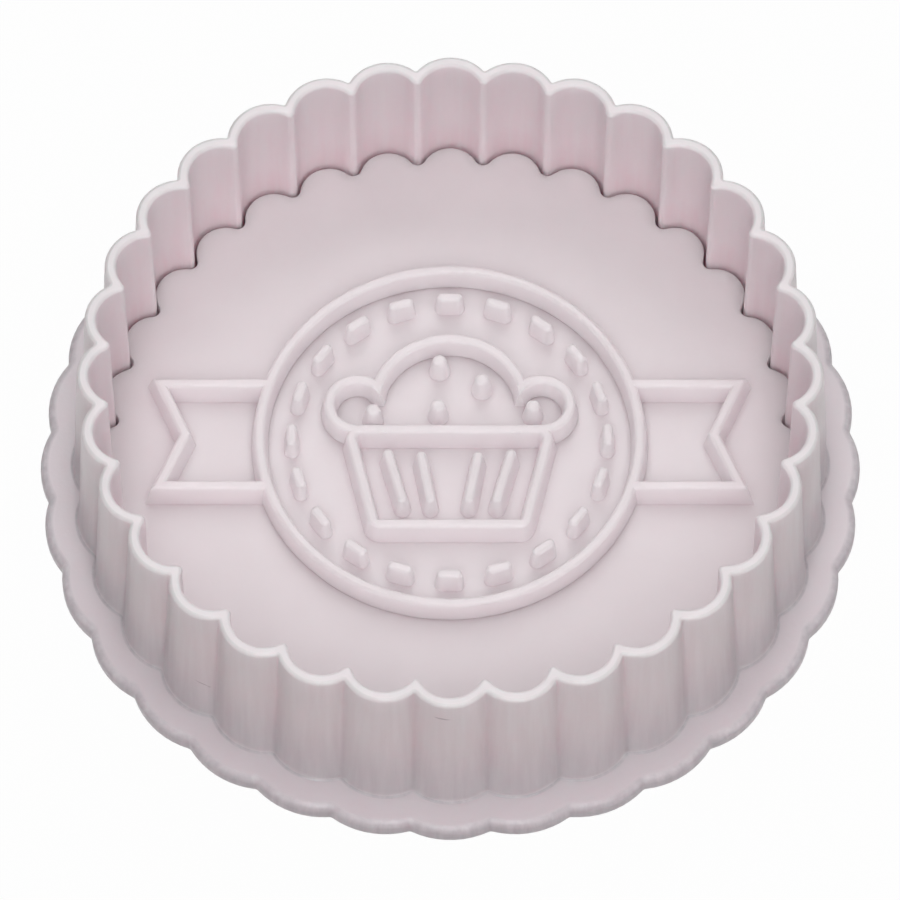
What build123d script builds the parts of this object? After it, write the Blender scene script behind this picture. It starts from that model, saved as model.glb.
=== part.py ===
from build123d import *
import math
import os

# Plunger pastry stamp. A fluted cutter ring holds a sprung stamp plate with raised line art.
# Pressing the knob slides the plate along the cutter's axis, towards the cutting rim.
# Millimetres, +Z up. The tool stands on its knob with the cutting rim up, and the origin
# is the middle of the knob's resting face.

# Flutes, shared by the blade, the flange, the bore and the stamp plate
flute_count = 32

# Cutter ring
rim_radius = 35.0
rim_flute_depth = 1.4
blade_height = 17.35
blade_draft = 1.0
root_flute_depth = 0.95
blade_wall = 1.1
bore_flute_depth = 1.77
ridge_round = 0.5
valley_round = 0.2
root_valley_round = 0.6
rim_round = 0.35
flange_width = 3.25
flange_flute_depth = 0.7
flange_valley_round = 0.5
flange_thickness = 2.25
flange_round = 0.8
root_round = 0.4
skirt_depth = 5.85
skirt_wall = 1.2

# Bosses inside the ring: screw posts that also stop the stamp plate
boss_radius = 3.0
boss_inset = 5.0
boss_count = 4

# Guide plate and sleeve
guide_thickness = 2.0
guide_clearance = 0.15
guide_recess = 0.3
sleeve_wall = 2.45
sleeve_gap = 0.8
spring_pocket_height = 1.2
spring_pocket_wall = 1.2

# Guide plate screws
screw_shank_radius = 1.3
screw_head_radius = 2.3
screw_head_height = 1.2
screw_length = 5.5
screw_counterbore_depth = 0.9
screw_hole_clearance = 0.2
screw_pilot_clearance = 0.03
screw_pilot_extra = 0.6
screw_slot_width = 0.7
screw_slot_depth = 0.6
screw_slot_share = 1.4

# Stamp plate
plate_rise = 2.8
plate_thickness = 2.4
plate_clearance = 0.3
plate_edge_round = 0.12
hub_wall = 2.95
hub_depth = 3.4
rib_count = 4
rib_width = 1.4
rib_height = 1.6
rib_margin = 3.0

# Stem and travel
stem_radius = 5.0
stem_running_gap = 0.05
stem_core_radius = 3.0
stem_core_depth = 14.0
spigot_clearance = 0.03
rim_setback = 0.1

# Raised line art: one line section for every stroke
relief_height = 2.4
line_top_width = 0.9
line_draft = 0.4
line_round = 0.35
medallion_radius = 18.1
art_centre = (-0.07, 0.36)

# Stitches inside the roundel
stitch_count = 20
stitch_inset = 3.05
stitch_length = 2.35
stitch_draft = 0.25

# Ribbon tails
ribbon_half_height = 5.55
ribbon_tip_inset = 6.0
ribbon_notch_depth = 2.45

# Cupcake: case, frosting, pleats and sprinkles
case_top_half_width = 9.6
case_bottom_half_width = 7.15
case_top_y = 0.56
case_bottom_y = -9.66
case_top_round = 1.0
case_bottom_round = 0.8
frosting_radius = 7.15
frosting_centre_y = 3.35
lobe_radius = 2.7
lobe_centre_x = 8.8
lobe_centre_y = 3.3
frosting_cusp_gap = 1.0
pleat_height = 2.4
pleat_top_width = 0.85
outer_pleat_top = (5.83, -2.08)
outer_pleat_foot = (4.47, -6.98)
inner_pleat_top = (2.68, -2.34)
inner_pleat_foot = (1.82, -6.98)
sprinkle_top_radius = 0.62
sprinkle_round = 0.4
sprinkle_places = [(-0.96, 8.05), (3.1, 6.0), (-7.3, 2.68), (-1.09, 3.17), (7.95, 3.12)]

# Knob
knob_radius = 20.0
knob_height = 14.0
knob_wall = 2.0
knob_floor = 3.0
knob_foot_round = 1.2
knob_lip_round = 0.8
knob_gap = 0.85
socket_wall = 2.2
socket_depth = 4.0
clamp_floor = 1.5
stop_gap = 0.3

# Stem screw, its washer and the cap over them
stem_screw_shank_radius = 1.5
stem_screw_head_radius = 3.0
stem_screw_head_height = 1.1
stem_screw_length = 12.0
washer_radius = 3.8
washer_thickness = 0.5
washer_clearance = 0.3
head_gap = 0.1
cap_radius = 12.0
cap_thickness = 1.0
cap_setback = 0.2
cap_clearance = 0.1
cap_edge_round = 0.3

# Return spring
wire_radius = 0.55
spring_turns = 7
spring_clearance = 0.65
spring_seat_gap = 0.05
end_turn_rise = 1.75

# Heights up the axis, worked out from the knob's resting face
cap_ceiling = cap_setback + cap_thickness
clamp_bottom = cap_ceiling + stem_screw_head_height + washer_thickness + head_gap
socket_bottom = clamp_bottom + clamp_floor
socket_top = socket_bottom + socket_depth
head_top = clamp_bottom - washer_thickness
travel = blade_height - plate_rise - relief_height - rim_setback
skirt_bottom = knob_height + travel + knob_gap
guide_bottom = skirt_bottom + guide_recess
guide_top = guide_bottom + guide_thickness
flange_bottom = skirt_bottom + skirt_depth
flange_top = flange_bottom + flange_thickness
rim_top = flange_top + blade_height
plate_face = flange_top + plate_rise
plate_back = plate_face - plate_thickness
hub_bottom = plate_back - hub_depth
sleeve_bottom = socket_top + travel + stop_gap
sleeve_top = hub_bottom - sleeve_gap
stem_pilot_depth = head_top + stem_screw_length - socket_bottom + screw_pilot_extra

# Radii worked out from the sizes above
bore_radius = rim_radius - blade_wall
ridge_radius = bore_radius - bore_flute_depth
root_radius = rim_radius + blade_draft
flange_radius = root_radius + flange_width
guide_radius = bore_radius + guide_clearance
skirt_radius = guide_radius + guide_clearance + skirt_wall
boss_circle = bore_radius - boss_inset
boss_web = boss_inset + blade_wall / 2
sleeve_bore_radius = stem_radius + stem_running_gap
sleeve_radius = sleeve_bore_radius + sleeve_wall
hub_radius = stem_radius + spigot_clearance + hub_wall
spring_radius = sleeve_radius + spring_clearance + wire_radius
pocket_radius = spring_radius + wire_radius + spring_clearance
screw_bore_radius = screw_shank_radius + screw_hole_clearance
screw_pilot_radius = screw_shank_radius + screw_pilot_clearance
knob_bore_radius = knob_radius - knob_wall
socket_radius = stem_radius + spigot_clearance
plate_radius = bore_radius - plate_clearance

# Line art sizes worked out from the line's section
line_foot_width = line_top_width + 2 * line_draft
pleat_foot_width = pleat_top_width + 2 * line_draft * pleat_height / relief_height
stitch_radius = medallion_radius - stitch_inset
frosting_reach = 2 * (lobe_centre_x + lobe_radius + line_foot_width)
ribbon_reach = plate_radius - ribbon_tip_inset


def polar(radius, angle):
    """Point at a radius and an angle in degrees."""
    return (radius * math.cos(math.radians(angle)), radius * math.sin(math.radians(angle)))


def fluted_outline(crest_radius, valley_radius, valley_round):
    """Face with one round lobe per flute. Round valleys join the lobes at a tangent."""
    pitch = 360 / flute_count
    crest_reach = crest_radius + valley_round
    round_centre = Vector(*polar(valley_radius + valley_round, pitch / 2))
    lobe_centre = (crest_reach**2 - round_centre.length**2) / (2 * (crest_reach - round_centre.X))
    towards_round = (round_centre - Vector(lobe_centre, 0)).normalized()
    touch = Vector(lobe_centre, 0) + towards_round * (crest_radius - lobe_centre)
    with BuildSketch() as outline:
        with BuildLine():
            for index in range(flute_count):
                angle = index * pitch
                lobe_end = touch.rotate(Axis.Z, angle)
                lobe_start = Vector(touch.X, -touch.Y).rotate(Axis.Z, angle)
                next_start = lobe_start.rotate(Axis.Z, pitch)
                ThreePointArc(lobe_start, polar(crest_radius, angle), lobe_end)
                ThreePointArc(lobe_end, polar(valley_radius, angle + pitch / 2), next_start)
        make_face()
    return outline.sketch


bore_outline = fluted_outline(bore_radius, ridge_radius, ridge_round)
plate_outline = fluted_outline(
    bore_radius - plate_clearance, ridge_radius - plate_clearance, ridge_round + plate_clearance
)


# Cutter ring: fluted blade, scalloped flange, short round skirt and four bosses
with BuildPart() as cutter_ring:
    with BuildSketch(Plane.XY.offset(flange_bottom)):
        add(fluted_outline(flange_radius, flange_radius - flange_flute_depth, flange_valley_round))
    extrude(amount=flange_thickness)
    fillet(cutter_ring.edges().filter_by(Axis.Z, reverse=True), flange_round)
    with BuildSketch(Plane.XY.offset(flange_top)):
        add(fluted_outline(root_radius, root_radius - root_flute_depth, root_valley_round))
    with BuildSketch(Plane.XY.offset(rim_top)):
        add(fluted_outline(rim_radius, rim_radius - rim_flute_depth, valley_round))
    loft(ruled=True)
    flange_face = cutter_ring.faces().filter_by(Plane.XY).sort_by(Axis.Z)[1]
    fillet(flange_face.inner_wires().edges(), root_round)
    with BuildSketch(Plane.XY.offset(skirt_bottom)):
        Circle(skirt_radius)
    extrude(amount=skirt_depth + flange_thickness / 2)
    with BuildSketch(Plane.XY.offset(guide_top)):
        add(bore_outline)
    extrude(amount=rim_top - guide_top, mode=Mode.SUBTRACT)
    with BuildSketch(Plane.XY.offset(skirt_bottom)):
        Circle(guide_radius + guide_clearance)
    extrude(amount=guide_top - skirt_bottom, mode=Mode.SUBTRACT)
    with BuildSketch(Plane.XY.offset(guide_top)):
        with PolarLocations(boss_circle, boss_count):
            Circle(boss_radius)
            with Locations((boss_web / 2, 0)):
                Rectangle(boss_web, 2 * boss_radius)
    extrude(amount=plate_back - guide_top)
    with BuildSketch(Plane.XY.offset(guide_top)):
        with PolarLocations(boss_circle, boss_count):
            Circle(screw_pilot_radius)
    extrude(
        amount=screw_length - guide_thickness + screw_counterbore_depth + screw_pilot_extra,
        mode=Mode.SUBTRACT,
    )
    fillet(cutter_ring.faces().sort_by(Axis.Z)[-1].edges(), rim_round)


# Guide plate: closes the ring's back, with the sleeve that guides the stem
with BuildPart() as guide_plate:
    with BuildSketch(Plane.XY.offset(guide_bottom)):
        Circle(guide_radius)
    extrude(amount=guide_thickness)
    with BuildSketch(Plane.XY.offset(sleeve_bottom)):
        Circle(sleeve_radius)
    extrude(amount=sleeve_top - sleeve_bottom)
    with BuildSketch(Plane.XY.offset(guide_bottom - spring_pocket_height)):
        Circle(pocket_radius + spring_pocket_wall)
        Circle(pocket_radius, mode=Mode.SUBTRACT)
    extrude(amount=spring_pocket_height)
    with Locations(Plane.XY.offset(sleeve_bottom)):
        Hole(sleeve_bore_radius)
    with BuildSketch(Plane.XY.offset(guide_bottom)):
        with PolarLocations(boss_circle, boss_count):
            Circle(screw_bore_radius)
    extrude(amount=guide_thickness, mode=Mode.SUBTRACT)
    with BuildSketch(Plane.XY.offset(guide_bottom)):
        with PolarLocations(boss_circle, boss_count):
            Circle(screw_head_radius + screw_hole_clearance)
    extrude(amount=screw_counterbore_depth, mode=Mode.SUBTRACT)


# Guide plate screws: pan heads down, in one group
head_seat = guide_bottom + screw_counterbore_depth
with BuildPart() as guide_plate_screws:
    with BuildSketch(Plane.XY.offset(head_seat - screw_head_height)):
        with PolarLocations(boss_circle, boss_count):
            Circle(screw_head_radius)
    extrude(amount=screw_head_height)
    with BuildSketch(Plane.XY.offset(head_seat)):
        with PolarLocations(boss_circle, boss_count):
            Circle(screw_shank_radius)
    extrude(amount=screw_length)
    with BuildSketch(Plane.XY.offset(head_seat - screw_head_height)):
        with PolarLocations(boss_circle, boss_count):
            Rectangle(screw_slot_width, screw_slot_share * screw_head_radius)
            Rectangle(screw_slot_share * screw_head_radius, screw_slot_width)
    extrude(amount=screw_slot_depth, mode=Mode.SUBTRACT)


# Return spring: one open coil, its end turns lie flatter than the rest
def spring_height(turn, first, last):
    """Height of the wire's centre after a number of turns."""
    middle_rise = (last - first - 2 * end_turn_rise) / (spring_turns - 2)
    if turn <= 1:
        return first + end_turn_rise * turn
    if turn >= spring_turns - 1:
        return last - end_turn_rise * (spring_turns - turn)
    return first + end_turn_rise + middle_rise * (turn - 1)


def biarc(start, start_tangent, end, end_tangent):
    """Two arcs that leave start and reach end along the given unit tangents."""
    chord = end - start
    tangent_sum = start_tangent + end_tangent
    a = 2 * start_tangent.dot(end_tangent) - 2
    b = -2 * chord.dot(tangent_sum)
    c = chord.dot(chord)
    reach = (-b - math.sqrt(b * b - 4 * a * c)) / (2 * a)
    joint = (start + start_tangent * reach + end - end_tangent * reach) * 0.5
    first_arc = Edge.make_tangent_arc(start, start_tangent, joint)
    second_arc = Edge.make_tangent_arc(joint, first_arc % 1, end)
    return [first_arc, second_arc]


coil_first = knob_floor + wire_radius + spring_seat_gap
coil_last = guide_bottom - wire_radius - spring_seat_gap
half_turns = 2 * spring_turns
coil_points = []
for half in range(half_turns + 1):
    x, y = polar(spring_radius, 180 * half)
    coil_points.append(Vector(x, y, spring_height(half / 2, coil_first, coil_last)))
coil_tangents = []
for half in range(half_turns + 1):
    low = coil_points[max(half - 1, 0)]
    high = coil_points[min(half + 1, half_turns)]
    run = math.pi * spring_radius * (min(half + 1, half_turns) - max(half - 1, 0))
    rise = high.Z - low.Z if 0 < half < half_turns else 0
    turn_way = 1 if half % 2 == 0 else -1
    coil_tangents.append(Vector(0, turn_way * run, rise).normalized())
coil_arcs = []
for half in range(half_turns):
    coil_arcs += biarc(
        coil_points[half], coil_tangents[half], coil_points[half + 1], coil_tangents[half + 1]
    )

# Least gap between turns, measured between points of the wire's centre half a turn apart or more
samples_per_arc = 8
samples_per_half_turn = 2 * samples_per_arc
coil_samples = [arc @ (step / samples_per_arc) for arc in coil_arcs for step in range(samples_per_arc)]
turn_gaps = [
    (coil_samples[high] - coil_samples[low]).length - 2 * wire_radius
    for low in range(len(coil_samples))
    for high in range(low + samples_per_half_turn, len(coil_samples))
]
print(f"return_spring least gap to itself {min(turn_gaps):.2f} mm")

with BuildPart() as return_spring:
    with BuildLine() as coil_path:
        add(coil_arcs)
    with BuildSketch(Plane(origin=coil_points[0], z_dir=coil_tangents[0])):
        Circle(wire_radius)
    sweep()


# Stamp plate: fluted plate with a hub and ribs behind and raised lines in front
def raised_line(outline, height, foot_width, top_width, offset_kind=Kind.ARC):
    """Raised closed line along a face's edge, drafted so that its top is narrower."""
    taper = math.degrees(math.atan((foot_width - top_width) / 2 / height))
    with BuildPart() as line:
        with BuildSketch(Plane.XY.offset(plate_face)):
            add(outline)
            offset(amount=foot_width / 2, kind=offset_kind)
        extrude(amount=height, taper=taper)
        with BuildSketch(Plane.XY.offset(plate_face)):
            add(outline)
            offset(amount=-foot_width / 2, kind=offset_kind)
        extrude(amount=height, taper=-taper, mode=Mode.SUBTRACT)
        fillet(line.faces().sort_by(Axis.Z)[-1].edges(), line_round)
    return line.part


def raised_bar(start, end, foot_width, top_width, height):
    """Drafted bar with round ends between two points, the middles of its ends."""
    taper = math.degrees(math.atan((foot_width - top_width) / 2 / height))
    with BuildPart() as bar:
        with BuildSketch(Plane.XY.offset(plate_face)):
            SlotCenterPoint((Vector(start) + Vector(end)) / 2, end, foot_width)
        extrude(amount=height, taper=taper)
        fillet(bar.faces().sort_by(Axis.Z)[-1].edges(), line_round)
    return bar.part


def raised_ring(radius):
    """Raised line round a circle, with a drafted section and a rounded top."""
    with BuildPart() as ring:
        with BuildSketch(Plane.XZ) as section:
            with BuildLine():
                Polyline(
                    (radius - line_foot_width / 2, plate_face),
                    (radius - line_top_width / 2, plate_face + relief_height),
                    (radius + line_top_width / 2, plate_face + relief_height),
                    (radius + line_foot_width / 2, plate_face),
                    close=True,
                )
            make_face()
            fillet(section.vertices().group_by(Axis.Z)[-1], line_round)
        revolve()
    return ring.part


def ring_inside(radius):
    """Drafted space inside a raised ring."""
    with BuildPart() as inside:
        with Locations((0, 0, plate_face)):
            Cone(
                radius - line_foot_width / 2,
                radius - line_top_width / 2,
                relief_height,
                align=(Align.CENTER, Align.CENTER, Align.MIN),
            )
    return inside.part


with BuildSketch() as ribbon_outline:
    with BuildLine():
        Polyline(
            (0, ribbon_half_height),
            (ribbon_reach, ribbon_half_height),
            (ribbon_reach - ribbon_notch_depth, 0),
            (ribbon_reach, -ribbon_half_height),
            (0, -ribbon_half_height),
            close=True,
        )
    make_face()

with BuildPart() as ribbon_tail:
    add(
        raised_line(
            ribbon_outline.sketch, relief_height, line_foot_width, line_top_width, Kind.INTERSECTION
        )
    )
    with BuildSketch(Plane.XY.offset(plate_face)):
        Circle(medallion_radius)
    extrude(amount=relief_height, mode=Mode.SUBTRACT)
    split(bisect_by=Plane.YZ, keep=Keep.TOP)

with BuildSketch() as case_outline:
    with BuildLine():
        Polyline(
            (case_top_half_width, case_top_y),
            (case_bottom_half_width, case_bottom_y),
            (-case_bottom_half_width, case_bottom_y),
            (-case_top_half_width, case_top_y),
            close=True,
        )
    make_face()
    fillet(case_outline.vertices().group_by(Axis.Y)[-1], case_top_round)
    fillet(case_outline.vertices().group_by(Axis.Y)[0], case_bottom_round)


# Frosting line: a dome and two lobes that stop where they meet, open at the foot
frosting_centre = (0, frosting_centre_y)
lobe_centres = [(-lobe_centre_x, lobe_centre_y), (lobe_centre_x, lobe_centre_y)]
with BuildSketch(Plane.XY.offset(plate_face)) as frosting_opening:
    with Locations((0, case_top_y)):
        Rectangle(
            2 * lobe_centre_x,
            lobe_centre_y + frosting_cusp_gap - case_top_y,
            align=(Align.CENTER, Align.MIN),
        )
    with Locations((0, case_top_y - line_top_width / 2)):
        Rectangle(frosting_reach, frosting_reach, align=(Align.CENTER, Align.MAX))

with BuildPart() as dome_line:
    with Locations(frosting_centre):
        add(raised_ring(frosting_radius))
    with Locations(lobe_centres):
        add(ring_inside(lobe_radius), mode=Mode.SUBTRACT)
    add(frosting_opening.sketch)
    extrude(amount=relief_height, mode=Mode.SUBTRACT)

with BuildPart() as lobe_lines:
    with Locations(lobe_centres):
        add(raised_ring(lobe_radius))
    with Locations(frosting_centre):
        add(ring_inside(frosting_radius), mode=Mode.SUBTRACT)
    add(frosting_opening.sketch)
    extrude(amount=relief_height, mode=Mode.SUBTRACT)


with BuildPart() as sprinkle:
    Cone(
        sprinkle_top_radius + line_draft,
        sprinkle_top_radius,
        relief_height,
        align=(Align.CENTER, Align.CENTER, Align.MIN),
    )
    fillet(sprinkle.faces().sort_by(Axis.Z)[-1].edges(), sprinkle_round)


with BuildPart() as stamp_plate:
    with BuildSketch(Plane.XY.offset(plate_back)):
        add(plate_outline)
    extrude(amount=plate_thickness)
    fillet(stamp_plate.faces().sort_by(Axis.Z)[-1].edges(), plate_edge_round)
    with BuildSketch(Plane.XY.offset(hub_bottom)):
        Circle(hub_radius)
    extrude(amount=hub_depth)
    with BuildSketch(Plane.XY.offset(plate_back - rib_height)):
        with PolarLocations(0, rib_count, start_angle=180 / rib_count):
            with Locations(((plate_radius - rib_margin) / 2, 0)):
                Rectangle(plate_radius - rib_margin, rib_width)
    extrude(amount=rib_height)
    with BuildSketch(Plane.XY.offset(hub_bottom)):
        Circle(socket_radius)
    extrude(amount=hub_depth, mode=Mode.SUBTRACT)
    with Locations(art_centre):
        add(raised_ring(medallion_radius))
        add(ribbon_tail.part)
        add(ribbon_tail.part.mirror(Plane.YZ))
        add(raised_line(case_outline.sketch, relief_height, line_foot_width, line_top_width))
        add(dome_line.part)
        add(lobe_lines.part)
        for side in (-1, 1):
            for top, foot in ((outer_pleat_top, outer_pleat_foot), (inner_pleat_top, inner_pleat_foot)):
                start = (side * top[0], top[1])
                end = (side * foot[0], foot[1])
                add(raised_bar(start, end, pleat_foot_width, pleat_top_width, pleat_height))
        for index in range(stitch_count):
            angle = 90 + index * 360 / stitch_count
            half_length = (stitch_length - line_top_width) / 2
            middle = Vector(*polar(stitch_radius, angle))
            along = Vector(*polar(half_length, angle + 90))
            add(
                raised_bar(
                    middle - along,
                    middle + along,
                    line_top_width + 2 * stitch_draft,
                    line_top_width,
                    relief_height,
                )
            )
        with Locations([(x, y, plate_face) for x, y in sprinkle_places]):
            add(sprinkle.part)


# Plunger stem: spigots in the plate's hub and the knob's socket
with BuildPart() as plunger_stem:
    with BuildSketch(Plane.XY.offset(socket_bottom)):
        Circle(stem_radius)
    extrude(amount=plate_back - socket_bottom)
    with BuildSketch(Plane.XY.offset(socket_bottom)):
        Circle(stem_screw_shank_radius + screw_pilot_clearance)
    extrude(amount=stem_pilot_depth, mode=Mode.SUBTRACT)
    with BuildSketch(Plane.XY.offset(plate_back)):
        Circle(stem_core_radius)
    extrude(amount=-stem_core_depth, mode=Mode.SUBTRACT)


# Knob: hollow press knob with a socket for the stem and a pocket for its cap
with BuildPart() as knob:
    with BuildSketch(Plane.XZ):
        with BuildLine():
            Polyline(
                (washer_radius + washer_clearance, cap_ceiling),
                (cap_radius + cap_clearance, cap_ceiling),
                (cap_radius + cap_clearance, 0),
                (knob_radius, 0),
                (knob_radius, knob_height),
                (knob_bore_radius, knob_height),
                (knob_bore_radius, knob_floor),
                (socket_radius + socket_wall, knob_floor),
                (socket_radius + socket_wall, socket_top),
                (socket_radius, socket_top),
                (socket_radius, socket_bottom),
                (stem_screw_shank_radius + screw_hole_clearance, socket_bottom),
                (stem_screw_shank_radius + screw_hole_clearance, clamp_bottom),
                (washer_radius + washer_clearance, clamp_bottom),
                close=True,
            )
        make_face()
    revolve()
    outer_edges = knob.edges().filter_by(GeomType.CIRCLE).group_by(SortBy.RADIUS)[-1]
    fillet(outer_edges.sort_by(Axis.Z)[0], knob_foot_round)
    fillet(knob.faces().sort_by(Axis.Z)[-1].edges(), knob_lip_round)


# Knob cap: thin disc in the knob's pocket, set back from the resting face
with BuildPart() as knob_cap:
    with BuildSketch(Plane.XY.offset(cap_setback)):
        Circle(cap_radius)
    extrude(amount=cap_thickness)
    fillet(knob_cap.faces().sort_by(Axis.Z)[0].edges(), cap_edge_round)


# Washer and screw that hold the stem in the knob
with BuildPart() as screw_washer:
    with BuildSketch(Plane.XY.offset(clamp_bottom - washer_thickness)):
        Circle(washer_radius)
        Circle(stem_screw_shank_radius + screw_hole_clearance, mode=Mode.SUBTRACT)
    extrude(amount=washer_thickness)

with BuildPart() as stem_screw:
    with BuildSketch(Plane.XY.offset(head_top - stem_screw_head_height)):
        Circle(stem_screw_head_radius)
    extrude(amount=stem_screw_head_height)
    with BuildSketch(Plane.XY.offset(head_top)):
        Circle(stem_screw_shank_radius)
    extrude(amount=stem_screw_length)
    with BuildSketch(Plane.XY.offset(head_top - stem_screw_head_height)):
        Rectangle(screw_slot_width, screw_slot_share * stem_screw_head_radius)
        Rectangle(screw_slot_share * stem_screw_head_radius, screw_slot_width)
    extrude(amount=screw_slot_depth, mode=Mode.SUBTRACT)


os.makedirs("parts", exist_ok=True)
pieces = {
    "cutter_ring": cutter_ring,
    "guide_plate": guide_plate,
    "guide_plate_screws": guide_plate_screws,
    "stamp_plate": stamp_plate,
    "plunger_stem": plunger_stem,
    "return_spring": return_spring,
    "knob": knob,
    "knob_cap": knob_cap,
    "screw_washer": screw_washer,
    "stem_screw": stem_screw,
}
for label, piece in pieces.items():
    piece.part.label = label
    export_step(piece.part, f"parts/{label}.step")
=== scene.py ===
import math

import bmesh
import bpy
from bpy.props import FloatProperty, FloatVectorProperty, IntProperty, PointerProperty
from mathutils import Matrix, Vector


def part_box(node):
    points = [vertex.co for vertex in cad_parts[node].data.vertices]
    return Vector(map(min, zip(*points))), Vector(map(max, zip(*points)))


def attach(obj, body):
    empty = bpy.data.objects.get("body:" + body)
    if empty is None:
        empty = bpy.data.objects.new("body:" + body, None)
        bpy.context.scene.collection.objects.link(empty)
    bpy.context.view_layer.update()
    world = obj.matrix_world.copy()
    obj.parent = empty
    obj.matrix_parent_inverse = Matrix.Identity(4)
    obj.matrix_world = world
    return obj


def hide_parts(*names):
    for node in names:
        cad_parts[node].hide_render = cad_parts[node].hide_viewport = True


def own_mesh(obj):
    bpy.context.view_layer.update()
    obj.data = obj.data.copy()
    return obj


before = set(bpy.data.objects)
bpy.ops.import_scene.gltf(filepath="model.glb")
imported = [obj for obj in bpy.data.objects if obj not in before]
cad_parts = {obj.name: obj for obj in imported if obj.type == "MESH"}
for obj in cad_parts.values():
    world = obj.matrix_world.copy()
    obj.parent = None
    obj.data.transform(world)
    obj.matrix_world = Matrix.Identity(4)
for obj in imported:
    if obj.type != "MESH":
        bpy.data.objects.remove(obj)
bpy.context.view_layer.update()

bl_info = {
    "name": "Plunger pastry stamp",
    "version": (1, 0, 0),
    "blender": (4, 5, 0),
    "location": "3D View > Sidebar > Pastry stamp",
    "description": "Dresses a fluted plunger cutter and its stamp plate, and lights it",
    "category": "Object",
}

MM = 0.001
# The floor lies this far under the tool, so that it and the knob's face aren't in one plane
FLOOR_DROP = 0.02 * MM

SPRING_LOW, SPRING_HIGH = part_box("return_spring")
RIM_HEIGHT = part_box("cutter_ring")[1].z
RELIEF_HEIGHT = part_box("stamp_plate")[1].z

# Patterns of the plastic: clouds in the melt, and how far apart the draw marks are
CLOUD_MM = 9.0
DRAW_MARK_MM = 0.7
# How far red, green and blue light goes into the plastic: thin walls look warmer
THIN_REACH_MM = (3.0, 2.4, 2.55)
THICK_REACH_MM = (3.0, 2.75, 2.8)
PLASTIC_IOR = 1.49
PLASTIC_BUMP = 0.5
GLOSS_SPREAD = 0.04
# Draw marks of the ring: how much longer they are up the wall, their share of the bump and
# how much of the paler tone they take
DRAW_MARK_SQUEEZE = 0.05
DRAW_MARK_SHARE = 1.6
DRAW_MARK_TONE = 0.35
# How far out from the axis a face has to look to count in full as the wall's outside, or in
# for its inside
OUTSIDE_MM = 12.0
# How level a face of the plate is, from the walls of its raised lines to its face
WALL_LEVEL = 0.3
FACE_LEVEL = 0.9
# Heights between which the painted shade on the ring goes from full to none, darker towards the flange,
# measured from the rim
FLANGE_SHADE_BELOW = RIM_HEIGHT - 16.35 * MM
FLANGE_SHADE_ABOVE = RIM_HEIGHT - 5.35 * MM
# Heights between which the painted rosy light inside the wall fades out, measured from the top of
# the raised lines
ROSY_BELOW = RELIEF_HEIGHT - 1.7 * MM
ROSY_ABOVE = RELIEF_HEIGHT + 2.8 * MM
# The band of height that holds the flange's rounded edge, measured from the rim
EDGE_MIDDLE = RIM_HEIGHT - 18.15 * MM
EDGE_HALF = 0.9 * MM
# Small dark rub marks on the ring's outer wall: middle in mm, turn in degrees, half sizes in mm
RUB_MARKS = (
    ((-0.8, -35.1, 50.1), (0.0, 3.0, 0.0), (1.1, 0.6, 0.16)),
    ((-23.1, -26.3, 40.4), (0.0, 20.0, -10.0), (1.0, 0.8, 0.13)),
    ((-22.5, -26.2, 40.1), (0.0, 0.0, 0.0), (0.3, 0.8, 0.24)),
    ((27.0, -22.7, 38.0), (0.0, 0.0, 50.0), (0.5, 0.8, 0.12)),
)
# Share of a rub mark's size that is dark in full
RUB_CORE = 0.3
# Crystals and tone of the zinc plate, and the die lines of the wire, drawn coarser than the
# real ones so that they show
ZINC_CRYSTAL_MM = 0.35
ZINC_TONE_MM = 1.2
ZINC_DEPTH_MM = 0.01
DIE_LINE_MM = 0.12
DIE_LINE_SQUEEZE = 0.15

# Lamps: name, place and width in metres, power in watts. All face the middle of the tool.
LAMPS = (
    ("lamp_above", (0.0, 0.0, 0.90), 0.6, 1.2),
    ("lamp_left", (-0.6, -0.2, 0.45), 0.5, 0.4),
    ("lamp_right", (0.6, -0.2, 0.45), 0.5, 0.75),
    ("lamp_front", (0.0, -0.5, 0.65), 0.5, 2.25),
    ("lamp_front_high", (0.0, -0.3, 0.85), 0.5, 1.4),
    ("lamp_back", (0.0, 0.55, 0.60), 0.5, 2.0),
)
LAMP_AIM = (0.0, 0.0, 40 * MM)
FLOOR_HALF_WIDTH = 1.5
# The surroundings light the tool a little, and show as plain white
SURROUNDINGS_LIGHT = 0.02

# The photo's camera
LENS_MM = 288.0
SENSOR_MM = 36.0
CAMERA_MM = (-0.03, -332.3, 638.85)
CAMERA_TILT = 28.928


def linear_colour(code):
    """Turns an sRGB hex value into the linear red, green and blue that shaders use."""
    channels = [int(code[start:start + 2], 16) / 255 for start in (1, 3, 5)]
    return [c / 12.92 if c <= 0.04045 else ((c + 0.055) / 1.055) ** 2.4 for c in channels]


def add_node(tree, kind, settings=None, sockets=None, links=None):
    """Adds one node, sets its properties and socket values, and links its inputs."""
    node = tree.nodes.new(kind)
    for name, value in (settings or {}).items():
        setattr(node, name, value)
    for name, value in (sockets or {}).items():
        node.inputs[name].default_value = value
    for name, source in (links or {}).items():
        tree.links.new(source, node.inputs[name])
    return node


def new_material(name):
    """Empty node material and its tree."""
    material = bpy.data.materials.new(name)
    material.use_nodes = True
    material.node_tree.nodes.clear()
    return material, material.node_tree


def close_material(tree, shader):
    """Joins a shader to the material's output."""
    add_node(tree, "ShaderNodeOutputMaterial", links={"Surface": shader})


def ramp(tree, factor, stops):
    """Colour ramp with linear colours at the given places."""
    node = add_node(tree, "ShaderNodeValToRGB", links={"Fac": factor})
    elements = node.color_ramp.elements
    while len(elements) < len(stops):
        elements.new(1.0)
    for element, (place, colour) in zip(elements, stops):
        element.position = place
        element.color = (*colour, 1.0)
    return node.outputs["Color"]


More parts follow.
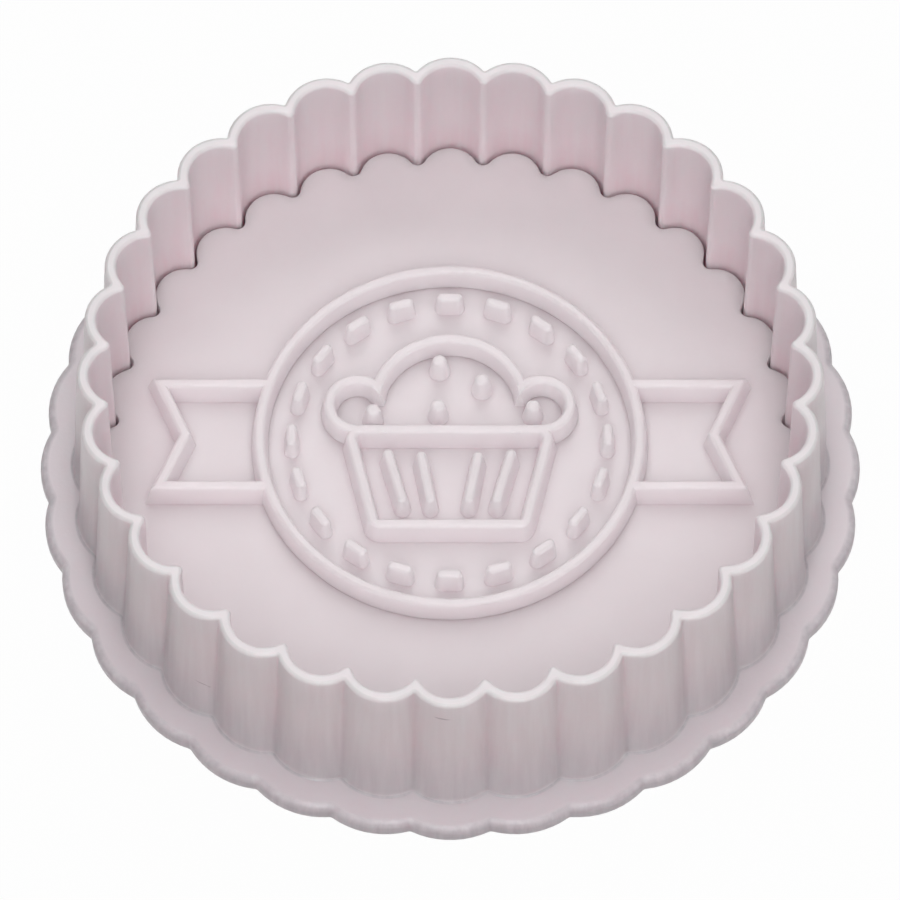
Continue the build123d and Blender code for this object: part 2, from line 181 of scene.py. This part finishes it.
def background_ray(tree):
    """1 for camera, glossy and transmission rays, 0 for the others."""
    path = add_node(tree, "ShaderNodeLightPath")
    seen = add_node(
        tree, "ShaderNodeMath", {"operation": "ADD"}, {},
        {0: path.outputs["Is Camera Ray"], 1: path.outputs["Is Glossy Ray"]},
    ).outputs["Value"]
    return add_node(
        tree, "ShaderNodeMath", {"operation": "ADD", "use_clamp": True}, {},
        {0: seen, 1: path.outputs["Is Transmission Ray"]},
    ).outputs["Value"]


def per_metre(size_mm):
    """Noise scale that gives features of a size in millimetres."""
    return 1.0 / (size_mm * MM)


def blend(tree, factor, body, other):
    """Goes from a body colour to another colour, plain or from a node, by a factor."""
    mixed = add_node(tree, "ShaderNodeMix", {"data_type": "RGBA"}, {}, {"Factor": factor, "A": body})
    if isinstance(other, bpy.types.NodeSocket):
        tree.links.new(other, mixed.inputs["B"])
    else:
        mixed.inputs["B"].default_value = (*other, 1.0)
    return mixed.outputs["Result"]


def fade(tree, value, full, none, kind="LINEAR"):
    """Goes from 1 at one value to 0 at another."""
    return add_node(
        tree,
        "ShaderNodeMapRange",
        {"interpolation_type": kind},
        {"From Min": full, "From Max": none, "To Min": 1.0, "To Max": 0.0},
        {"Value": value},
    ).outputs["Result"]


def rub_mark(tree, place, centre, turn, half_size):
    """Soft mask of one small mark, from its middle, its turn and its half sizes."""
    local = add_node(
        tree,
        "ShaderNodeMapping",
        {"vector_type": "TEXTURE"},
        {"Location": Vector(centre) * MM, "Rotation": [math.radians(angle) for angle in turn],
         "Scale": Vector(half_size) * MM},
        {"Vector": place},
    ).outputs["Vector"]
    reach = add_node(tree, "ShaderNodeVectorMath", {"operation": "LENGTH"}, {}, {0: local})
    return fade(tree, reach.outputs["Value"], RUB_CORE, 1.0, "SMOOTHSTEP")


def moulded_polypropylene(
    name, look, texture_mm, texture_depth_mm, roughness, reach, drawn=False
):
    """Injection moulded polypropylene, slightly see-through, with a fine satin skin."""
    # The eye gets a soft milky skin: light goes a little way in, so edges and thin walls
    # look warmer, and the gloss is broad with small differences from the mould.
    material, tree = new_material(name)
    place = add_node(tree, "ShaderNodeTexCoord").outputs["Object"]
    cloud = add_node(
        tree, "ShaderNodeTexNoise", {}, {"Scale": per_metre(CLOUD_MM), "Detail": 3.0}, {"Vector": place}
    ).outputs["Fac"]
    tones = (look.blade_deep, look.blade) if drawn else (look.plastic_deep, look.plastic)
    body = ramp(tree, cloud, [(0.32, tones[0]), (0.68, tones[1])])
    height = add_node(
        tree, "ShaderNodeTexNoise", {}, {"Scale": per_metre(texture_mm), "Detail": 4.0}, {"Vector": place}
    ).outputs["Fac"]
    if drawn:
        body, height = drawn_wall(tree, look, place, body, height)
    else:
        # Painted light: the walls of thin raised lines and ribs are painted paler, for light that shines
        # through them
        facing = add_node(tree, "ShaderNodeTexCoord").outputs["Normal"]
        level = add_node(tree, "ShaderNodeSeparateXYZ", {}, {}, {"Vector": facing}).outputs["Z"]
        body = blend(tree, fade(tree, level, WALL_LEVEL, FACE_LEVEL), body, look.plastic_wall_light)
    skin = add_node(
        tree,
        "ShaderNodeBump",
        {},
        {"Strength": PLASTIC_BUMP, "Distance": texture_depth_mm * MM},
        {"Height": height},
    ).outputs["Normal"]
    gloss = add_node(
        tree,
        "ShaderNodeMapRange",
        {},
        {"From Min": 0.3, "From Max": 0.7,
         "To Min": roughness - GLOSS_SPREAD, "To Max": roughness + GLOSS_SPREAD},
        {"Value": cloud},
    ).outputs["Result"]
    shader = add_node(
        tree,
        "ShaderNodeBsdfPrincipled",
        {},
        {
            "IOR": PLASTIC_IOR,
            "Metallic": 0.0,
            "Subsurface Weight": 1.0,
            "Subsurface Radius": reach,
            "Subsurface Scale": MM,
        },
        {"Base Color": body, "Roughness": gloss, "Normal": skin},
    )
    close_material(tree, shader.outputs["BSDF"])
    return material


def drawn_wall(tree, look, place, body, height):
    """Adds what the ring shows: draw marks, painted light and shade by side and height, and rub marks."""
    # Draw marks run along the way the mould opens: fine round the ring, long up the wall
    stretched = add_node(
        tree, "ShaderNodeMapping", {}, {"Scale": (1.0, 1.0, DRAW_MARK_SQUEEZE)}, {"Vector": place}
    ).outputs["Vector"]
    marks = add_node(
        tree, "ShaderNodeTexNoise", {}, {"Scale": per_metre(DRAW_MARK_MM), "Detail": 3.0},
        {"Vector": stretched},
    ).outputs["Fac"]
    height = add_node(
        tree, "ShaderNodeMath", {"operation": "MULTIPLY_ADD"}, {1: DRAW_MARK_SHARE}, {0: marks, 2: height}
    ).outputs["Value"]
    # Painted shade: the outside of the wall is a little darker than the inside
    level = add_node(
        tree, "ShaderNodeVectorMath", {"operation": "MULTIPLY"}, {1: (1.0, 1.0, 0.0)}, {0: place}
    ).outputs["Vector"]
    facing = add_node(tree, "ShaderNodeTexCoord").outputs["Normal"]
    outward = add_node(
        tree, "ShaderNodeVectorMath", {"operation": "DOT_PRODUCT"}, {}, {0: level, 1: facing}
    ).outputs["Value"]
    outside = fade(tree, outward, OUTSIDE_MM * MM, 0.0)
    along = add_node(tree, "ShaderNodeSeparateXYZ", {}, {}, {"Vector": place}).outputs["Z"]
    # Painted light: the inside of the wall is paler and pinker than the outside, rosiest at its foot, for
    # light caught between wall and plate
    foot = fade(tree, along, ROSY_BELOW, ROSY_ABOVE, "SMOOTHSTEP")
    inside_light = ramp(tree, foot, [(0.0, look.blade_inside_light), (1.0, look.blade_foot_light)])
    body = blend(tree, outside, body, look.blade_outside_shade)
    # Painted shade: the flange and the foot of the outer wall are darkened, where the wall shades them
    flange_shade = fade(tree, along, FLANGE_SHADE_BELOW, FLANGE_SHADE_ABOVE, "SMOOTHSTEP")
    body = blend(tree, flange_shade, body, look.plastic_flange_shade)
    # Painted shade: the flange's rounded edge is darkened
    band = add_node(
        tree, "ShaderNodeMath", {"operation": "COMPARE"}, {1: EDGE_MIDDLE, 2: EDGE_HALF}, {0: along}
    ).outputs["Value"]
    edge = add_node(
        tree, "ShaderNodeMath", {"operation": "MULTIPLY"}, {}, {0: band, 1: outside}
    ).outputs["Value"]
    body = blend(tree, edge, body, look.flange_edge_shade)
    inside = fade(tree, outward, -OUTSIDE_MM * MM, 0.0)
    body = blend(tree, inside, body, inside_light)
    # The draw marks' paler tone shows on the wall's two sides, and not on the flange
    wall = add_node(
        tree, "ShaderNodeMath", {"operation": "ADD", "use_clamp": True}, {}, {0: inside, 1: outside}
    ).outputs["Value"]
    pale = add_node(
        tree,
        "ShaderNodeMapRange",
        {},
        {"From Min": 0.35, "From Max": 0.7, "To Min": 0.0, "To Max": DRAW_MARK_TONE},
        {"Value": marks},
    ).outputs["Result"]
    streak = add_node(
        tree, "ShaderNodeMath", {"operation": "MULTIPLY"}, {}, {0: pale, 1: wall}
    ).outputs["Value"]
    body = blend(tree, streak, body, look.plastic_light)
    for centre, turn, half_size in RUB_MARKS:
        body = blend(tree, rub_mark(tree, place, centre, turn, half_size), body, look.plastic_rubbed)
    return body, height


def zinc_plated_steel(name, look):
    """Bright zinc plate over pressed and rolled steel."""
    # The eye gets a cool grey metal with a faint crystal mottle and soft reflections.
    material, tree = new_material(name)
    place = add_node(tree, "ShaderNodeTexCoord").outputs["Object"]
    crystal = add_node(
        tree, "ShaderNodeTexVoronoi", {}, {"Scale": per_metre(ZINC_CRYSTAL_MM)}, {"Vector": place}
    )
    tone = add_node(
        tree, "ShaderNodeTexNoise", {}, {"Scale": per_metre(ZINC_TONE_MM), "Detail": 3.0},
        {"Vector": place},
    ).outputs["Fac"]
    body = ramp(tree, tone, [(0.35, look.zinc_deep), (0.65, look.zinc)])
    gloss = add_node(
        tree,
        "ShaderNodeMapRange",
        {},
        {"From Min": 0.0, "From Max": 1.0, "To Min": 0.24, "To Max": 0.4},
        {"Value": crystal.outputs["Distance"]},
    ).outputs["Result"]
    skin = add_node(
        tree, "ShaderNodeBump", {}, {"Strength": 0.3, "Distance": ZINC_DEPTH_MM * MM},
        {"Height": tone},
    ).outputs["Normal"]
    shader = add_node(
        tree,
        "ShaderNodeBsdfPrincipled",
        {},
        {"Metallic": 1.0},
        {"Base Color": body, "Roughness": gloss, "Normal": skin},
    )
    close_material(tree, shader.outputs["BSDF"])
    return material


def drawn_spring_wire(name, look):
    """Hard drawn stainless wire, coiled cold."""
    # The eye gets bright wire with fine die lines that run along it, as rings of tone here.
    material, tree = new_material(name)
    place = add_node(tree, "ShaderNodeTexCoord").outputs["Object"]
    lines = add_node(
        tree, "ShaderNodeMapping", {}, {"Scale": (DIE_LINE_SQUEEZE, DIE_LINE_SQUEEZE, 1.0)},
        {"Vector": place},
    ).outputs["Vector"]
    die = add_node(
        tree, "ShaderNodeTexNoise", {}, {"Scale": per_metre(DIE_LINE_MM), "Detail": 2.0},
        {"Vector": lines},
    ).outputs["Fac"]
    body = ramp(tree, die, [(0.3, look.wire_deep), (0.7, look.wire)])
    gloss = add_node(
        tree,
        "ShaderNodeMapRange",
        {},
        {"From Min": 0.3, "From Max": 0.7, "To Min": 0.2, "To Max": 0.34},
        {"Value": die},
    ).outputs["Result"]
    shader = add_node(
        tree,
        "ShaderNodeBsdfPrincipled",
        {},
        {"Metallic": 1.0},
        {"Base Color": body, "Roughness": gloss},
    )
    close_material(tree, shader.outputs["BSDF"])
    return material


def white_floor(name, look):
    """Pale matt card that shows as white and keeps a soft shadow."""
    material, tree = new_material(name)
    card = add_node(
        tree,
        "ShaderNodeBsdfDiffuse",
        {},
        {"Color": (*look.floor, 1.0), "Roughness": 0.0},
    ).outputs["BSDF"]
    glow = add_node(
        tree, "ShaderNodeEmission", {}, {"Color": (1.0, 1.0, 1.0, 1.0), "Strength": 1.0}
    ).outputs["Emission"]
    share = add_node(
        tree,
        "ShaderNodeMath",
        {"operation": "MULTIPLY"},
        {1: look.floor_white_share},
        {0: background_ray(tree)},
    ).outputs["Value"]
    mixed = add_node(tree, "ShaderNodeMixShader", links={"Fac": share})
    tree.links.new(card, mixed.inputs[1])
    tree.links.new(glow, mixed.inputs[2])
    close_material(tree, mixed.outputs["Shader"])
    return material


class StampSizes(bpy.types.PropertyGroup):
    """Sizes of the coil, and how finely it is cut."""

    wire_radius: FloatProperty(
        name="Wire radius", description="Radius of the spring's wire", default=0.55 * MM,
        unit="LENGTH", precision=5,
    )
    coil_turns: IntProperty(
        name="Turns", description="Turns of the coil, end turns included", default=7, min=3
    )
    end_turn_rise: FloatProperty(
        name="End turn rise", description="Rise of the first and the last turn",
        default=1.75 * MM, unit="LENGTH", precision=5,
    )
    steps_per_turn: IntProperty(
        name="Steps per turn", description="Pieces that each turn is cut into", default=72, min=12
    )
    wire_sides: IntProperty(
        name="Wire sides", description="Sides of the wire's section", default=20, min=6
    )


class StampColours(bpy.types.PropertyGroup):
    """Colours of the plastic, the metals and the floor."""

    plastic: FloatVectorProperty(
        name="Plastic", description="Pale pinkish grey of the moulded plastic", subtype="COLOR",
        default=linear_colour("#E5DCDF"), min=0.0, max=1.0,
    )
    plastic_deep: FloatVectorProperty(
        name="Plastic, deeper", description="The plastic where the wall is thicker",
        subtype="COLOR", default=linear_colour("#E1D8DB"), min=0.0, max=1.0,
    )
    # Painted light: the ring's thin wall is paler than the plate's plastic, for light that shines through
    # it
    blade: FloatVectorProperty(
        name="Blade", description="The plastic in the ring's thin wall, which light shines through",
        subtype="COLOR", default=linear_colour("#F6E6EA"), min=0.0, max=1.0,
    )
    blade_deep: FloatVectorProperty(
        name="Blade, deeper", description="The darker clouds in the ring's wall", subtype="COLOR",
        default=linear_colour("#F2E2E6"), min=0.0, max=1.0,
    )
    # Painted shade: the outside of the ring's wall, darker than its inside
    blade_outside_shade: FloatVectorProperty(
        name="Blade, outside", description="The handled outside of the ring's wall",
        subtype="COLOR", default=linear_colour("#E2D7D9"), min=0.0, max=1.0,
    )
    # Painted light: the inside of the ring's wall, paler and pinker than its outside
    blade_inside_light: FloatVectorProperty(
        name="Blade, inside", description="The inside of the ring's wall", subtype="COLOR",
        default=linear_colour("#EBDDE1"), min=0.0, max=1.0,
    )
    # Painted light: rosy light caught at the inner foot of the wall
    blade_foot_light: FloatVectorProperty(
        name="Blade, inner foot", description="The inside of the ring's wall, next to the plate",
        subtype="COLOR", default=linear_colour("#E8D5DA"), min=0.0, max=1.0,
    )
    # Painted shade on the flange's rounded edge
    flange_edge_shade: FloatVectorProperty(
        name="Flange edge", description="The dull rounded edge of the flange",
        subtype="COLOR", default=linear_colour("#C5BDC2"), min=0.0, max=1.0,
    )
    # Painted light on the walls of the raised lines and of the ribs
    plastic_wall_light: FloatVectorProperty(
        name="Plastic, walls", description="Walls of the raised lines and of the ribs",
        subtype="COLOR", default=linear_colour("#EBE3E6"), min=0.0, max=1.0,
    )
    plastic_light: FloatVectorProperty(
        name="Plastic, paler", description="The plastic along a draw mark", subtype="COLOR",
        default=linear_colour("#ECE5E7"), min=0.0, max=1.0,
    )
    # Painted shade on the ring's flange and the foot of its outer wall
    plastic_flange_shade: FloatVectorProperty(
        name="Plastic, thick", description="The ring's plastic near its flange", subtype="COLOR",
        default=linear_colour("#D8CFD3"), min=0.0, max=1.0,
    )
    plastic_rubbed: FloatVectorProperty(
        name="Plastic, rubbed", description="Small rub marks on the ring's outer wall",
        subtype="COLOR", default=linear_colour("#BFB4B7"), min=0.0, max=1.0,
    )
    zinc: FloatVectorProperty(
        name="Zinc", description="Bright zinc plate", subtype="COLOR",
        default=linear_colour("#C9CCD1"), min=0.0, max=1.0,
    )
    zinc_deep: FloatVectorProperty(
        name="Zinc, darker", description="Zinc plate between its crystals", subtype="COLOR",
        default=linear_colour("#AEB1B6"), min=0.0, max=1.0,
    )
    wire: FloatVectorProperty(
        name="Wire", description="Drawn stainless wire", subtype="COLOR",
        default=linear_colour("#C4C5C8"), min=0.0, max=1.0,
    )
    wire_deep: FloatVectorProperty(
        name="Wire, darker", description="Die lines of the wire", subtype="COLOR",
        default=linear_colour("#9B9CA0"), min=0.0, max=1.0,
    )
    floor: FloatVectorProperty(
        name="Floor", description="Pale card under the tool", subtype="COLOR",
        default=linear_colour("#BEBDBE"), min=0.0, max=1.0,
    )
    floor_white_share: FloatProperty(
        name="Floor white", description="Share of plain white that the camera sees on the floor",
        default=0.98, min=0.0, max=1.0,
    )


def dress(names, material):
    """Gives CAD nodes one material."""
    for name in names:
        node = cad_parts[name]
        node.data.materials.clear()
        node.data.materials.append(material)


class STAMP_OT_cutter_ring(bpy.types.Operator):
    """Dresses the fluted cutter ring"""

    bl_idname = "stamp.cutter_ring"
    bl_label = "Cutter ring"

    def execute(self, context):
        look = context.scene.stamp_colours
        skin = moulded_polypropylene(
            "polished_moulded_polypropylene", look, texture_mm=0.5, texture_depth_mm=0.02,
            roughness=0.32, reach=THIN_REACH_MM, drawn=True,
        )
        dress(["cutter_ring"], skin)
        return {"FINISHED"}


class STAMP_OT_stamp_plate(bpy.types.Operator):
    """Dresses the stamp plate and its raised lines"""

    bl_idname = "stamp.stamp_plate"
    bl_label = "Stamp plate"

    def execute(self, context):
        look = context.scene.stamp_colours
        skin = moulded_polypropylene(
            "satin_moulded_polypropylene", look, texture_mm=0.6, texture_depth_mm=0.02,
            roughness=0.42, reach=THICK_REACH_MM,
        )
        dress(["stamp_plate"], skin)
        return {"FINISHED"}


class STAMP_OT_handle(bpy.types.Operator):
    """Dresses the knob, its cap, the stem and the guide plate"""

    bl_idname = "stamp.handle"
    bl_label = "Knob, stem and guide plate"

    def execute(self, context):
        look = context.scene.stamp_colours
        skin = moulded_polypropylene(
            "spark_eroded_moulded_polypropylene", look, texture_mm=0.3, texture_depth_mm=0.05,
            roughness=0.5, reach=THICK_REACH_MM,
        )
        dress(["guide_plate", "knob", "knob_cap", "plunger_stem"], skin)
        return {"FINISHED"}


class STAMP_OT_fasteners(bpy.types.Operator):
    """Dresses the screws and the washer"""

    bl_idname = "stamp.fasteners"
    bl_label = "Screws and washer"

    def execute(self, context):
        metal = zinc_plated_steel("zinc_plated_steel", context.scene.stamp_colours)
        dress(["guide_plate_screws", "stem_screw", "screw_washer"], metal)
        return {"FINISHED"}


class STAMP_OT_return_spring(bpy.types.Operator):
    """Winds the return spring as one fixed coil; in the real tool it flattens as the knob is pressed"""

    bl_idname = "stamp.return_spring"
    bl_label = "Return spring"

    def execute(self, context):
        sizes = context.scene.stamp_sizes
        wire = sizes.wire_radius
        coil_radius = SPRING_HIGH.x - wire
        low, high = SPRING_LOW.z + wire, SPRING_HIGH.z - wire
        middle_turns = sizes.coil_turns - 2
        middle_rise = (high - low - 2 * sizes.end_turn_rise) / middle_turns
        coil = bmesh.new()
        section = bmesh.ops.create_circle(
            coil, cap_ends=False, segments=sizes.wire_sides, radius=wire,
            matrix=Matrix.Translation((coil_radius, 0, low)) @ Matrix.Rotation(math.pi / 2, 4, "X"),
        )["verts"]
        first_section = list(section)
        loop = coil.edges[:]
        runs = ((1, sizes.end_turn_rise), (middle_turns, middle_rise), (1, sizes.end_turn_rise))
        for turns, rise in runs:
            steps = turns * sizes.steps_per_turn
            spun = bmesh.ops.spin(
                coil, geom=loop, cent=(0, 0, 0), axis=(0, 0, 1), angle=math.tau * turns,
                dvec=(0, 0, rise * turns / steps), steps=steps, use_merge=False,
            )["geom_last"]
            loop = [item for item in spun if isinstance(item, bmesh.types.BMEdge)]
        last_section = [item for item in spun if isinstance(item, bmesh.types.BMVert)]
        bmesh.ops.contextual_create(coil, geom=first_section)
        bmesh.ops.contextual_create(coil, geom=last_section)
        bmesh.ops.recalc_face_normals(coil, faces=coil.faces)
        # A spin gives its faces in a new order each run, so they are put in one that stays
        coil.verts.index_update()
        count = len(coil.verts)
        coil.faces.sort(
            key=lambda face: min(v.index for v in face.verts) * count + max(v.index for v in face.verts)
        )
        for face in coil.faces:
            face.smooth = len(face.verts) == 4
        mesh = bpy.data.meshes.new("return_spring_coil")
        coil.to_mesh(mesh)
        coil.free()
        piece = bpy.data.objects.new("return_spring_coil", mesh)
        context.scene.collection.objects.link(piece)
        mesh.materials.append(drawn_spring_wire("drawn_spring_wire", context.scene.stamp_colours))
        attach(piece, "housing")
        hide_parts("return_spring")
        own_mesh(piece)
        return {"FINISHED"}


def area_lamp(name, place, size, power):
    """Square soft lamp that faces the tool."""
    lamp = bpy.data.lights.new(name, "AREA")
    lamp.shape = "SQUARE"
    lamp.size = size
    lamp.energy = power
    holder = bpy.data.objects.new(name, lamp)
    holder.location = place
    holder.rotation_euler = (Vector(LAMP_AIM) - Vector(place)).to_track_quat("-Z", "Y").to_euler()
    bpy.context.scene.collection.objects.link(holder)


class STAMP_OT_stage(bpy.types.Operator):
    """Sets the floor, the lamps, the white surroundings and the camera"""

    bl_idname = "stamp.stage"
    bl_label = "Floor, lamps and camera"

    def execute(self, context):
        scene = context.scene
        look = scene.stamp_colours
        card = bmesh.new()
        bmesh.ops.create_grid(
            card, x_segments=1, y_segments=1, size=FLOOR_HALF_WIDTH,
            matrix=Matrix.Translation((0, 0, -FLOOR_DROP)),
        )
        mesh = bpy.data.meshes.new("floor_card")
        card.to_mesh(mesh)
        card.free()
        floor = bpy.data.objects.new("floor_card", mesh)
        scene.collection.objects.link(floor)
        mesh.materials.append(white_floor("white_floor_card", look))

        for name, place, size, power in LAMPS:
            area_lamp(name, place, size, power)

        world = bpy.data.worlds.new("white_surroundings")
        world.use_nodes = True
        tree = world.node_tree
        tree.nodes.clear()
        strength = add_node(
            tree, "ShaderNodeMapRange", {}, {"To Min": SURROUNDINGS_LIGHT, "To Max": 1.0},
            {"Value": background_ray(tree)},
        ).outputs["Result"]
        backdrop = add_node(
            tree, "ShaderNodeBackground", {}, {"Color": (1.0, 1.0, 1.0, 1.0)}, {"Strength": strength}
        ).outputs["Background"]
        add_node(tree, "ShaderNodeOutputWorld", links={"Surface": backdrop})
        scene.world = world
        scene.view_settings.view_transform = "Standard"

        lens = bpy.data.cameras.new("photo_camera")
        lens.lens = LENS_MM
        lens.sensor_width = SENSOR_MM
        lens.clip_start = 0.01
        lens.clip_end = 10.0
        camera = bpy.data.objects.new("photo_camera", lens)
        camera.location = Vector(CAMERA_MM) * MM
        camera.rotation_euler = (math.radians(CAMERA_TILT), 0.0, 0.0)
        scene.collection.objects.link(camera)
        scene.camera = camera
        return {"FINISHED"}


class STAMP_PT_panel(bpy.types.Panel):
    """Lists the pieces of the pastry stamp"""

    bl_idname = "STAMP_PT_panel"
    bl_label = "Pastry stamp"
    bl_space_type = "VIEW_3D"
    bl_region_type = "UI"
    bl_category = "Pastry stamp"

    def draw(self, context):
        for group in (context.scene.stamp_sizes, context.scene.stamp_colours):
            box = self.layout.box()
            for name in group.__annotations__:
                box.prop(group, name)
        for step in STEPS:
            self.layout.operator(step.bl_idname)


STEPS = (
    STAMP_OT_cutter_ring,
    STAMP_OT_stamp_plate,
    STAMP_OT_handle,
    STAMP_OT_fasteners,
    STAMP_OT_return_spring,
    STAMP_OT_stage,
)
CLASSES = (StampSizes, StampColours, *STEPS, STAMP_PT_panel)


def register():
    for kind in CLASSES:
        bpy.utils.register_class(kind)
    bpy.types.Scene.stamp_sizes = PointerProperty(type=StampSizes)
    bpy.types.Scene.stamp_colours = PointerProperty(type=StampColours)


def unregister():
    del bpy.types.Scene.stamp_colours
    del bpy.types.Scene.stamp_sizes
    for kind in reversed(CLASSES):
        bpy.utils.unregister_class(kind)


def main():
    """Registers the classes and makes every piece."""
    register()
    bpy.ops.stamp.cutter_ring()
    bpy.ops.stamp.stamp_plate()
    bpy.ops.stamp.handle()
    bpy.ops.stamp.fasteners()
    bpy.ops.stamp.return_spring()
    bpy.ops.stamp.stage()


if __name__ == "__main__":
    main()
